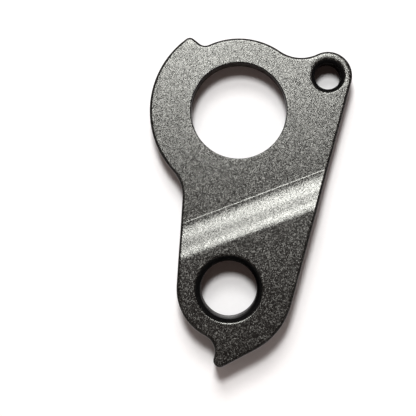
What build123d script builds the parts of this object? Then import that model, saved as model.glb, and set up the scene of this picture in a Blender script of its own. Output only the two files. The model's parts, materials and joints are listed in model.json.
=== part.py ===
from build123d import *
from collections import namedtuple
from math import atan2, cos, degrees, hypot, radians, sin, sqrt, tan
import os

# Bicycle derailleur hanger, milled from one aluminium plate. Millimetres and degrees.
# Its back face lies on z = 0, +Z looks outboard and the origin is the axle's centre.

# Plate
ring_thickness = 6.0
pad_step = 1.15
edge_round = 0.45

# Ring round the axle, with a wider flange at its rear
axle_bore = 15.5
axle_edge_break = 0.1
axle_mouth_round = 0.15
ring_radius = 11.7
flange_radius = 14.4

# Index tooth, where the flange steps down to the ring
tooth_angle = 126.1
tooth_radius = 1.0
tooth_notch_angle = 114.2
tooth_notch_radius = 1.5

# Ear for the fixing screw
ear_x = 14.4
ear_y = 5.6
ear_radius = 3.9
dip_radius = 6.1
fixing_thread = 5.0
fixing_pitch = 0.8
fixing_mouth = 5.5

# Pad for the derailleur bolt
pad_x = -1.6
pad_y = -28.75
pad_radius = 8.4
derailleur_thread = 10.0
derailleur_pitch = 1.0
derailleur_mouth = 11.0

# Neck between flange and pad, and the heel below the pad
neck_angle = 222.5
neck_radius = 5.9
heel_dx = -1.15
heel_dy = 0.55
heel_radius = 11.6

# Stop tooth that the derailleur's tension screw bears on
stop_notch_angle = 242.9
stop_notch_radius = 2.95
stop_tooth_angle = -20.7
stop_tooth_radius = 1.05

# Ramp from the ring face up to the pad face, slanting across the plate
ramp_angle = 20.7
ramp_width = 3.15
ramp_foot_radius = 8.0
ramp_crest_radius = 5.2

# Fine step that the facing cutter left ahead of the ramp, and the narrow land behind it
step_distance = 13.75
step_height = 0.025
step_width = 0.12
step_foot_radius = 0.3
step_crest_radius = 0.5
land_width = 0.2

# Round on the outer edge of the chamfer at a thread's mouth
thread_mouth_round = 0.4

# A tapped bore is this share of the pitch smaller than the thread's nominal diameter
minor_share = 0.85
fixing_bore = fixing_thread - minor_share * fixing_pitch
derailleur_bore = derailleur_thread - minor_share * derailleur_pitch

# Heights of the land and of the pad face
land_thickness = ring_thickness + step_height
pad_thickness = ring_thickness + pad_step

# Far enough for a cutting tool to pass the whole plate
reach = 2 * (hypot(pad_x, pad_y) + flange_radius)

# Rounds closer than this to touching share one point
touching = 1e-3

# One round of the outline: turn is 1 where the plate bulges and -1 where it is hollowed
Round = namedtuple("Round", "x y radius turn")


def polar(x, y, distance, angle):
    """Point at a distance and angle from a centre."""
    return x + distance * cos(radians(angle)), y + distance * sin(radians(angle))


def hollow_between(first, second, radius):
    """Hollow round that touches two bulging rounds, to the right of the way between them."""
    dx = second.x - first.x
    dy = second.y - first.y
    span = hypot(dx, dy)
    arm = first.radius + radius
    along = (span**2 + arm**2 - (second.radius + radius) ** 2) / (2 * span)
    aside = sqrt(arm**2 - along**2)
    x = first.x + (along * dx + aside * dy) / span
    y = first.y + (along * dy - aside * dx) / span
    return Round(x, y, radius, -1)


def outline_rounds():
    """The outline's rounds in order, anticlockwise from the ear."""
    ear = Round(ear_x, ear_y, ear_radius, 1)
    ring = Round(0, 0, ring_radius, 1)
    dip = hollow_between(ear, ring, dip_radius)
    tooth_notch = Round(
        *polar(0, 0, ring_radius + tooth_notch_radius, tooth_notch_angle), tooth_notch_radius, -1
    )
    tooth = Round(*polar(0, 0, flange_radius - tooth_radius, tooth_angle), tooth_radius, 1)
    flange = Round(0, 0, flange_radius, 1)
    neck = Round(*polar(0, 0, flange_radius + neck_radius, neck_angle), neck_radius, -1)
    pad = Round(pad_x, pad_y, pad_radius, 1)
    stop_notch = Round(
        *polar(pad.x, pad.y, pad_radius + stop_notch_radius, stop_notch_angle), stop_notch_radius, -1
    )
    stop_tooth = Round(
        *polar(stop_notch.x, stop_notch.y, stop_notch_radius + stop_tooth_radius, stop_tooth_angle),
        stop_tooth_radius,
        1,
    )
    heel = Round(pad_x + heel_dx, pad_y + heel_dy, heel_radius, 1)
    return [ear, dip, ring, tooth_notch, tooth, flange, neck, pad, stop_notch, stop_tooth, heel]


def tangent(first, second):
    """Where the outline leaves one round and enters the next: one point if they touch."""
    dx = second.x - first.x
    dy = second.y - first.y
    offset = second.turn * second.radius - first.turn * first.radius
    length = sqrt(max(dx**2 + dy**2 - offset**2, 0))
    if length < touching:
        length = 0
    heading = atan2(length * dy - offset * dx, length * dx + offset * dy)
    right = degrees(heading) - 90
    leave = polar(first.x, first.y, first.turn * first.radius, right)
    enter = polar(second.x, second.y, second.turn * second.radius, right)
    return leave, enter if length else leave


def outline_face():
    """The plate's outline: each round as an arc, with straight tangents between them."""
    rounds = outline_rounds()
    joints = [tangent(one, two) for one, two in zip(rounds, rounds[1:] + rounds[:1])]
    edges = []
    for index, one in enumerate(rounds):
        enter = joints[index - 1][1]
        leave, following = joints[index]
        start = degrees(atan2(enter[1] - one.y, enter[0] - one.x))
        end = degrees(atan2(leave[1] - one.y, leave[0] - one.x))
        sweep = one.turn * ((one.turn * (end - start)) % 360)
        edges.append(CenterArc((one.x, one.y), one.radius, start, sweep))
        if following != leave:
            edges.append(Line(leave, following))
    return make_face(edges)


def ramp_plane():
    """Upright plane across the ramp: local x runs from the axle to the pad, local y is up."""
    across = (sin(radians(ramp_angle)), -cos(radians(ramp_angle)), 0)
    along = (-cos(radians(ramp_angle)), -sin(radians(ramp_angle)), 0)
    return Plane(origin=(0, 0, 0), x_dir=across, z_dir=along)


def plate():
    """The outline at full height, with the faces and the ramp's S-shaped section milled on it."""
    slope = atan2(pad_thickness - land_thickness, ramp_width)
    land = step_distance + step_width
    ramp = land + land_width + ramp_foot_radius * tan(slope / 2)
    top = FilletPolyline(
        (-reach, ring_thickness),
        (step_distance, ring_thickness),
        (land, land_thickness),
        (ramp, land_thickness),
        (ramp + ramp_width, pad_thickness),
        (reach, pad_thickness),
        radius=[step_foot_radius, step_crest_radius, ramp_foot_radius, ramp_crest_radius],
    )
    rest = Polyline((reach, pad_thickness), (reach, 0), (-reach, 0), (-reach, ring_thickness))
    section = extrude(ramp_plane() * make_face(top.edges() + rest.edges()), reach, both=True)
    solid = extrude(outline_face(), max(ring_thickness, pad_thickness)) & section
    rims = solid.edges().filter_by(Axis.Z, reverse=True)
    rims = rims.filter_by(Axis((0, 0, 0), ramp_plane().z_dir), reverse=True)
    return fillet(rims, edge_round)


def drill(solid, x, y, diameter, mouth, mouth_round, height):
    """A bore right through the solid: both mouths have a 45 degree chamfer with a rounded edge."""
    chamfer_depth = (mouth - diameter) / 2
    wall = diameter / 2
    lip = mouth / 2 + chamfer_depth
    profile = Polyline(
        (0, 0, -chamfer_depth),
        (lip, 0, -chamfer_depth),
        (wall, 0, chamfer_depth),
        (wall, 0, height - chamfer_depth),
        (lip, 0, height + chamfer_depth),
        (0, 0, height + chamfer_depth),
        close=True,
    )
    drilled = solid - Pos(x, y, 0) * revolve(make_face(profile.edges()), Axis.Z)
    circles = drilled.edges().filter_by(lambda edge: edge.geom_type == GeomType.CIRCLE and edge.is_closed)
    mouths = circles.filter_by(lambda edge: abs(edge.radius - mouth / 2) < touching)
    return fillet(mouths, mouth_round)


def hanger():
    """The finished hanger."""
    solid = plate()
    axle_mouth = axle_bore + 2 * axle_edge_break
    solid = drill(solid, 0, 0, axle_bore, axle_mouth, axle_mouth_round, ring_thickness)
    solid = drill(solid, ear_x, ear_y, fixing_bore, fixing_mouth, thread_mouth_round, ring_thickness)
    return drill(
        solid, pad_x, pad_y, derailleur_bore, derailleur_mouth, thread_mouth_round, pad_thickness
    )


os.makedirs("parts", exist_ok=True)
export_step(hanger(), "parts/hanger.step")
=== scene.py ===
import json
from collections import namedtuple
from math import cos, pi, radians, sin, tan

import bmesh
import bpy
from mathutils import Matrix, Vector


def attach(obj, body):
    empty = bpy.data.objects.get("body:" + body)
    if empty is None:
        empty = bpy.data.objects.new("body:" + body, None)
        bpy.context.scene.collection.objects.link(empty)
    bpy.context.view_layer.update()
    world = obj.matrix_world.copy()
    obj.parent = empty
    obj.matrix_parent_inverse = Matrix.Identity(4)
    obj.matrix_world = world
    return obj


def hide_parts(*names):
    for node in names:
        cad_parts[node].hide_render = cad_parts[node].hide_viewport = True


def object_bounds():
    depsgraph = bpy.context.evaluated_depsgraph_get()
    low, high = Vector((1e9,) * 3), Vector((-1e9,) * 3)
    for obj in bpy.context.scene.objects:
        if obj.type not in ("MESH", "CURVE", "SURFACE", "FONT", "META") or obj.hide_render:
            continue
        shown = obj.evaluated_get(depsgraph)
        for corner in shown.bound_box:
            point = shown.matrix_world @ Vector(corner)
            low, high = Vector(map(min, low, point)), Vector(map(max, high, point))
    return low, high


# Bicycle derailleur hanger, bead-blasted and black anodised, lying on white paper.
# Metres; the plate's back face lies on z = 0 and the origin is the axle's centre.

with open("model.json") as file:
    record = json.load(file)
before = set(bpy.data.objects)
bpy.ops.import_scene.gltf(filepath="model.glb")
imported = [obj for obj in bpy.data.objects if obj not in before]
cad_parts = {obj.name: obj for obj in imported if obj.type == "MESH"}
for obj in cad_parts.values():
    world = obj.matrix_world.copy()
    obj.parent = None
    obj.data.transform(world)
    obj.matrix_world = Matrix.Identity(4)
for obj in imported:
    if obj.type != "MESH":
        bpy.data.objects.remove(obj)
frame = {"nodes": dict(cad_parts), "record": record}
cad_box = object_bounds()
mounts = {mount["name"]: mount for mount in frame["record"]["mounts"]}

MM = 0.001

# The photograph: its size, its scale at the ring's face, and where it shows two points
IMAGE_SIZE = 416
PIXELS_PER_MM = 6.2
AXLE_PIXEL = (238.7, 110.6)
UNDER_CAMERA_PIXEL = (245.0, 215.0)

# Camera, above the ring's face
RING_HEIGHT = 6.0 * MM
CAMERA_HEIGHT = 240.0 * MM
SENSOR_WIDTH = 36.0
NEAREST_SEEN = 0.01

# Radius of each bore's mouth inside its rounded edge, in millimetres
MOUTHS = {"axle_bore": 7.8, "derailleur_thread": 5.38, "fixing_thread": 2.63}

# Metric threads: pitches in millimetres, the slope of the flanks, and shares of the pitch: the
# depth, half of the flat root, and how far a groove's section reaches into the open bore
PITCHES = {"derailleur_thread": 1.0, "fixing_thread": 0.8}
FLANK_ANGLE = radians(30)
DEPTH_SHARE = 5 / 8 * cos(FLANK_ANGLE)
HALF_ROOT_SHARE = 1 / 16
OVERCUT_SHARE = 0.15

# A groove's turns beyond the plate's thickness, half of them at each face, and steps in a turn
SPARE_TURNS = 3
STEPS_PER_TURN = 96

# Vertices closer than this are joined, in millimetres: before the threads are cut, and after
BLANK_WELD = 0.0001
CUT_WELD = 0.001

# Edges that bend more than this stay crisp
CRISP_ANGLE = radians(30)

# Ranks of faces for shading, after the attribute that holds them, and the upward shares of a
# normal that make a face level, upright or, in a bore, part of a chamfer
FACE_RANKS = "__mod_weightednormals_faceweight"
STRONG, MEDIUM, WEAK = 16384, 0, -16384
LEVEL_SLOPE = 0.99999
UPRIGHT_SLOPE = 0.001
CHAMFER_SLOPES = (0.6, 0.8)

# Places of the finishes in the plate's list
BLASTED, MACHINED, TAPPED = range(3)

# Blasted finish: most grains are dull and few are bright. Rounded edges and walls get painted shade,
# which keeps only a share of their brightness
GRAIN_SIZE = 0.13 * MM
GRAIN_VALUES = (0.25, 0.9)
GRAIN_RARITY = 3.0
GRAIN_COLOURS = [(0.057, 0.0574, 0.0543, 1.0), (0.22, 0.2215, 0.2095, 1.0)]
GRAIN_ROUGHNESS = (0.222, 0.46)
DIMPLE_SIZE = 0.02 * MM
DIMPLE_TILT = 0.122
# Painted shade on edges: the levels of the normal over which it fades in, and the share of brightness
# it leaves on upright walls
PAINTED_EDGE_SHADE_LEVELS = (0.55, 0.86)
EDGE_BRIGHTNESS_UNDER_PAINTED_SHADE = 0.18

# Machined finishes, with faint stains: bores with their chamfers, and the clean thread, which
# loses its shine towards the mouth
Cloud = namedtuple("Cloud", "size detail roughness")
STAINS = Cloud(1.5 * MM, 3.0, 0.5)
STAIN_VALUES = (0.3, 0.7)
BORE_COLOURS = [(0.003, 0.003, 0.003, 1.0), (0.006, 0.006, 0.006, 1.0)]
BORE_ROUGHNESS = (0.2, 0.3)
BORE_SPECULAR = 0.08
THREAD_COLOURS = [(0.09, 0.09, 0.09, 1.0), (0.15, 0.15, 0.15, 1.0)]
THREAD_ROUGHNESS = (0.35, 0.45)
THREAD_FADE = 0.5 * MM
THREAD_MOUTH_SHINE = 0.05

# White paper, swept up all round
FIBRES = Cloud(0.6 * MM, 4.0, 0.6)
PAPER_COLOURS = [(0.86, 0.86, 0.86, 1.0), (0.9, 0.9, 0.9, 1.0)]
PAPER_ROUGHNESS = 0.9
PAPER_SPECULAR = 0.1
PAPER_RADIUS = 0.45
SWEEP_RADIUS = 0.15
WALL_HEIGHT = 0.45
PAPER_STEPS = 96
SWEEP_STEPS = 12

# Soft lights: each leans from the vertical to the photograph's top and left, in degrees, and
# has a distance, a spread to each side in degrees along and across its lean, and a radiance
SoftLight = namedtuple("SoftLight", "lean_top lean_left distance spread_along spread_across radiance")
SOFT_LIGHTS = {
    "key_light": SoftLight(20.8, 2.4, 0.4, 4.8, 4.2, 96.0),
    "broad_light": SoftLight(36.5, 4.0, 0.6, 7.0, 9.0, 18.2),
}
FILL_COLOUR = (0.16, 0.11, 0.095, 1.0)
CONTRAST = 1.15


def photo_point(pixel, height):
    """Point of the ring's face plane that the photograph shows at a pixel, moved to a height."""
    x = (pixel[0] - AXLE_PIXEL[0]) / PIXELS_PER_MM * MM
    y = (AXLE_PIXEL[1] - pixel[1]) / PIXELS_PER_MM * MM
    return Vector((x, y, height))


def new_object(name, content):
    """Object with a mesh, lamp or camera, linked to the scene."""
    thing = bpy.data.objects.new(name, content)
    bpy.context.scene.collection.objects.link(thing)
    return thing


def mesh_from(name, vertices, faces):
    """Closed mesh of triangles with its faces looking outwards."""
    mesh = bpy.data.meshes.new(name)
    mesh.from_pydata(vertices, [], faces)
    shape = bmesh.new()
    shape.from_mesh(mesh)
    bmesh.ops.triangulate(shape, faces=shape.faces)
    bmesh.ops.recalc_face_normals(shape, faces=shape.faces)
    shape.to_mesh(mesh)
    shape.free()
    return mesh


def weld(mesh, distance):
    """Joins the vertices of a mesh that lie closer than a distance."""
    shape = bmesh.new()
    shape.from_mesh(mesh)
    bmesh.ops.remove_doubles(shape, verts=shape.verts, dist=distance)
    shape.to_mesh(mesh)
    shape.free()


def new_material(name):
    """Material with a bare principled shader, and the place on the object in metres."""
    material = bpy.data.materials.new(name)
    material.use_nodes = True
    tree = material.node_tree
    shader = tree.nodes["Principled BSDF"]
    place = tree.nodes.new("ShaderNodeTexCoord").outputs["Object"]
    return material, tree, shader, place


def noise(tree, place, cloud):
    """Cloudy noise; its value is about 0.5 on average."""
    node = tree.nodes.new("ShaderNodeTexNoise")
    node.inputs["Scale"].default_value = 1 / cloud.size
    node.inputs["Detail"].default_value = cloud.detail
    node.inputs["Roughness"].default_value = cloud.roughness
    tree.links.new(place, node.inputs["Vector"])
    return node.outputs["Fac"]


def facets(tree, place, size):
    """Random colour for each small facet of a size in metres."""
    node = tree.nodes.new("ShaderNodeTexVoronoi")
    node.inputs["Scale"].default_value = 1 / size
    tree.links.new(place, node.inputs["Vector"])
    return node.outputs["Color"]


def spread(tree, value, source, target):
    """Value stretched from its source range to a target range, and held there."""
    node = tree.nodes.new("ShaderNodeMapRange")
    node.inputs["From Min"].default_value = source[0]
    node.inputs["From Max"].default_value = source[1]
    node.inputs["To Min"].default_value = target[0]
    node.inputs["To Max"].default_value = target[1]
    tree.links.new(value, node.inputs["Value"])
    return node.outputs["Result"]


def tint(tree, value, colours):
    """Colour between a dark one and a light one."""
    node = tree.nodes.new("ShaderNodeValToRGB")
    for element, colour in zip(node.color_ramp.elements, colours):
        element.color = colour
    tree.links.new(value, node.inputs["Fac"])
    return node.outputs["Color"]


def power(tree, value, exponent):
    """Value raised to a power."""
    node = tree.nodes.new("ShaderNodeMath")
    node.operation = "POWER"
    node.inputs[1].default_value = exponent
    tree.links.new(value, node.inputs[0])
    return node.outputs["Value"]


def vectors(tree, operation, *operands):
    """Sum, product or the like of vectors, each a socket or a constant."""
    node = tree.nodes.new("ShaderNodeVectorMath")
    node.operation = operation
    for socket, operand in zip(node.inputs, operands):
        if isinstance(operand, tuple):
            socket.default_value = operand
        else:
            tree.links.new(operand, socket)
    return node.outputs["Vector"]


def height_of(tree, vector):
    """Height of a vector's end above its start."""
    node = tree.nodes.new("ShaderNodeSeparateXYZ")
    tree.links.new(vector, node.inputs["Vector"])
    return node.outputs["Z"]


def surface_normal(tree):
    """Normal of the surface."""
    return tree.nodes.new("ShaderNodeNewGeometry").outputs["Normal"]


def levelness(tree):
    """Square of the normal's height: 1 on level faces, 0 on upright walls."""
    return power(tree, height_of(tree, surface_normal(tree)), 2.0)


def tilted(tree, colour, tilt):
    """Normal that each facet's colour tilts at random, by up to the tilt."""
    side = vectors(tree, "MULTIPLY_ADD", colour, (2.0, 2.0, 2.0), (-1.0, -1.0, -1.0))
    lean = vectors(tree, "MULTIPLY", side, (tilt, tilt, tilt))
    return vectors(tree, "NORMALIZE", vectors(tree, "ADD", surface_normal(tree), lean))


def blasted_black():
    """Bead-blasted and anodised: fine dimples, grains that glint a little more, and edges darkened by
    painted shade.
    """
    material, tree, shader, place = new_material("blasted_black")
    grains = spread(tree, facets(tree, place, GRAIN_SIZE), GRAIN_VALUES, (0.0, 1.0))
    grains = power(tree, grains, GRAIN_RARITY)
    colour = tint(tree, grains, GRAIN_COLOURS)
    # Painted shade: the less upward a face's normal points, the darker its colour
    shine = spread(tree, levelness(tree), PAINTED_EDGE_SHADE_LEVELS, (EDGE_BRIGHTNESS_UNDER_PAINTED_SHADE, 1.0))
    roughness = spread(tree, grains, (0.0, 1.0), GRAIN_ROUGHNESS)
    dimples = facets(tree, place, DIMPLE_SIZE)
    tree.links.new(vectors(tree, "MULTIPLY", colour, shine), shader.inputs["Base Color"])
    tree.links.new(roughness, shader.inputs["Roughness"])
    tree.links.new(tilted(tree, dimples, DIMPLE_TILT), shader.inputs["Normal"])
    shader.inputs["Metallic"].default_value = 1.0
    return material


def machined_black():
    """Turned and tapped after blasting, then anodised: smooth and deep black."""
    material, tree, shader, place = new_material("machined_black")
    stains = noise(tree, place, STAINS)
    roughness = spread(tree, stains, STAIN_VALUES, BORE_ROUGHNESS)
    tree.links.new(tint(tree, stains, BORE_COLOURS), shader.inputs["Base Color"])
    tree.links.new(roughness, shader.inputs["Roughness"])
    shader.inputs["Specular IOR Level"].default_value = BORE_SPECULAR
    return material


def tapped_black(mount):
    """Thread that was cut clean last of all: satin, and less black than the rest below its mouth."""
    material, tree, shader, place = new_material("tapped_black")
    stains = noise(tree, place, STAINS)
    colour = tint(tree, stains, THREAD_COLOURS)
    top = mount["pos_m"][2] + mount["dims"]["length_mm"] / 2 * MM
    shine = spread(tree, height_of(tree, place), (top - THREAD_FADE, top), (1.0, THREAD_MOUTH_SHINE))
    roughness = spread(tree, stains, STAIN_VALUES, THREAD_ROUGHNESS)
    tree.links.new(vectors(tree, "MULTIPLY", colour, shine), shader.inputs["Base Color"])
    tree.links.new(roughness, shader.inputs["Roughness"])
    shader.inputs["Metallic"].default_value = 1.0
    return material


def white_paper():
    """Smooth white paper."""
    material, tree, shader, place = new_material("white_paper")
    fibres = noise(tree, place, FIBRES)
    tree.links.new(tint(tree, fibres, PAPER_COLOURS), shader.inputs["Base Color"])
    shader.inputs["Roughness"].default_value = PAPER_ROUGHNESS
    shader.inputs["Specular IOR Level"].default_value = PAPER_SPECULAR
    return material


def thread_major(name):
    """Largest radius of a thread, in millimetres."""
    return mounts[name]["dims"]["r_mm"] + DEPTH_SHARE * PITCHES[name]


def thread_groove(name):
    """Helical groove of a thread, in millimetres, running past both faces of the plate."""
    pitch = PITCHES[name]
    major = thread_major(name)
    inner = mounts[name]["dims"]["r_mm"] - OVERCUT_SHARE * pitch
    half_root = HALF_ROOT_SHARE * pitch
    half_mouth = half_root + (major - inner) * tan(FLANK_ANGLE)
    section = [(inner, -half_mouth), (major, -half_root), (major, half_root), (inner, half_mouth)]
    corners = len(section)
    x, y = (value / MM for value in mounts[name]["pos_m"][:2])
    turns = round(cad_box[1].z / MM / pitch) + SPARE_TURNS
    vertices = []
    faces = [tuple(range(corners))]
    for step in range(turns * STEPS_PER_TURN + 1):
        angle = 2 * pi * step / STEPS_PER_TURN
        rise = pitch * (step / STEPS_PER_TURN - SPARE_TURNS / 2)
        for radius, height in section:
            vertices.append((x + radius * cos(angle), y + radius * sin(angle), rise + height))
        if step:
            first = corners * (step - 1)
            for corner in range(corners):
                one = first + corner
                two = first + (corner + 1) % corners
                faces.append((one, two, two + corners, one + corners))
    last = len(vertices) - 1
    faces.append(tuple(range(last, last - corners, -1)))
    return new_object(name + "_groove", mesh_from(name + "_groove", vertices, faces))


def plate_blank():
    """The plate's solid as one closed mesh, in millimetres."""
    mesh = frame["nodes"]["hanger"].data.copy()
    mesh.attributes.remove(mesh.attributes["custom_normal"])
    mesh.transform(Matrix.Scale(1 / MM, 4))
    weld(mesh, BLANK_WELD)
    return new_object("hanger_blank", mesh)


def cut_threads(blank):
    """The plate's mesh in metres, with both threads cut into their bores."""
    grooves = [thread_groove(name) for name in PITCHES]
    for groove in grooves:
        cut = blank.modifiers.new(groove.name, "BOOLEAN")
        cut.operation = "DIFFERENCE"
        cut.solver = "EXACT"
        cut.object = groove
    depsgraph = bpy.context.evaluated_depsgraph_get()
    mesh = bpy.data.meshes.new_from_object(blank.evaluated_get(depsgraph))
    for leftover in [blank, *grooves]:
        bpy.data.objects.remove(leftover)
    weld(mesh, CUT_WELD)
    mesh.transform(Matrix.Scale(MM, 4))
    return mesh


def from_axis(face, name):
    """Distance of a face's middle from a bore's axis, in millimetres."""
    return (face.center.xy - Vector(mounts[name]["pos_m"][:2])).length / MM


def in_bore(face):
    """Whether a face is on a bore's wall, thread or chamfer."""
    return any(from_axis(face, name) < mouth for name, mouth in MOUTHS.items())


def on_thread(face, name):
    """Whether a face is on a bore's thread, and not on its chamfers."""
    low, high = CHAMFER_SLOPES
    return from_axis(face, name) < thread_major(name) and not low < abs(face.normal.z) < high


def finish_faces(mesh):
    """Gives the faces their finish and sets which edges stay crisp."""
    mesh.materials.clear()
    mesh.materials.append(blasted_black())
    mesh.materials.append(machined_black())
    mesh.materials.append(tapped_black(mounts["derailleur_thread"]))
    for face in mesh.polygons:
        face.use_smooth = True
        if on_thread(face, "derailleur_thread"):
            face.material_index = TAPPED
        elif in_bore(face):
            face.material_index = MACHINED
        else:
            face.material_index = BLASTED
    mesh.set_sharp_from_angle(angle=CRISP_ANGLE)


def rank_faces(mesh):
    """Ranks the faces, so that level ones and upright walls set the shading where rounds meet them."""
    ranks = mesh.attributes.new(FACE_RANKS, "INT", "FACE")
    for face, rank in zip(mesh.polygons, ranks.data):
        slope = abs(face.normal.z)
        if slope > LEVEL_SLOPE:
            rank.value = STRONG
        elif slope < UPRIGHT_SLOPE:
            rank.value = MEDIUM
        else:
            rank.value = WEAK


def hanger():
    """The plate with its threads and finish, in place of its plain solid."""
    mesh = cut_threads(plate_blank())
    mesh.name = "hanger_plate"
    finish_faces(mesh)
    rank_faces(mesh)
    piece = new_object("hanger_plate", mesh)
    even = piece.modifiers.new("even_faces", "WEIGHTED_NORMAL")
    even.mode = "FACE_AREA"
    even.keep_sharp = True
    even.use_face_influence = True
    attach(piece, "root")
    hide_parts("hanger")


def paper():
    """White paper under the hanger, swept up into a low wall all round."""
    profile = [(PAPER_RADIUS, 0.0)]
    for step in range(1, SWEEP_STEPS + 1):
        angle = pi / 2 * step / SWEEP_STEPS
        profile.append((PAPER_RADIUS + SWEEP_RADIUS * sin(angle), SWEEP_RADIUS * (1 - cos(angle))))
    profile.append((PAPER_RADIUS + SWEEP_RADIUS, WALL_HEIGHT))
    vertices = []
    for radius, height in profile:
        for step in range(PAPER_STEPS):
            angle = 2 * pi * step / PAPER_STEPS
            vertices.append((radius * cos(angle), radius * sin(angle), height))
    faces = [tuple(range(PAPER_STEPS))]
    for row in range(len(profile) - 1):
        low = row * PAPER_STEPS
        high = low + PAPER_STEPS
        for step in range(PAPER_STEPS):
            following = (step + 1) % PAPER_STEPS
            faces.append((low + following, low + step, high + step, high + following))
    mesh = bpy.data.meshes.new("paper")
    mesh.from_pydata(vertices, [], faces)
    mesh.materials.append(white_paper())
    for face in mesh.polygons[1:]:
        face.use_smooth = True
    new_object("paper", mesh)


def face_down(thing, eye, target):
    """Puts a lamp or camera at a place, looking down at a target, with +Y upwards in its view."""
    back = (eye - target).normalized()
    right = Vector((0, 1, 0)).cross(back).normalized()
    up = back.cross(right)
    turn = Matrix((right, up, back)).transposed()
    thing.matrix_world = Matrix.Translation(eye) @ turn.to_4x4()


def lights():
    """Two soft lights, and a weak warm fill from all round."""
    middle = (cad_box[0] + cad_box[1]) / 2
    for name, soft in SOFT_LIGHTS.items():
        lamp = bpy.data.lights.new(name, "AREA")
        lamp.shape = "RECTANGLE"
        lamp.size = 2 * soft.distance * tan(radians(soft.spread_across))
        lamp.size_y = 2 * soft.distance * tan(radians(soft.spread_along))
        lamp.energy = soft.radiance * pi * lamp.size * lamp.size_y
        way = Vector((-tan(radians(soft.lean_left)), tan(radians(soft.lean_top)), 1)).normalized()
        face_down(new_object(name, lamp), middle + soft.distance * way, middle)
    world = bpy.data.worlds.new("fill")
    world.use_nodes = True
    world.node_tree.nodes["Background"].inputs["Color"].default_value = FILL_COLOUR
    bpy.context.scene.world = world


def camera():
    """Camera almost straight above the plate, aimed so that the framing is the photograph's."""
    lens = bpy.data.cameras.new("camera")
    lens.sensor_width = SENSOR_WIDTH
    lens.lens = SENSOR_WIDTH * PIXELS_PER_MM * CAMERA_HEIGHT / MM / IMAGE_SIZE
    lens.clip_start = NEAREST_SEEN
    viewer = new_object("camera", lens)
    eye = photo_point(UNDER_CAMERA_PIXEL, RING_HEIGHT + CAMERA_HEIGHT)
    target = photo_point((IMAGE_SIZE / 2, IMAGE_SIZE / 2), RING_HEIGHT)
    face_down(viewer, eye, target)
    bpy.context.scene.camera = viewer


hanger()
paper()
lights()
camera()
bpy.context.scene.view_settings.view_transform = "Standard"
bpy.context.scene.view_settings.gamma = 1 / CONTRAST
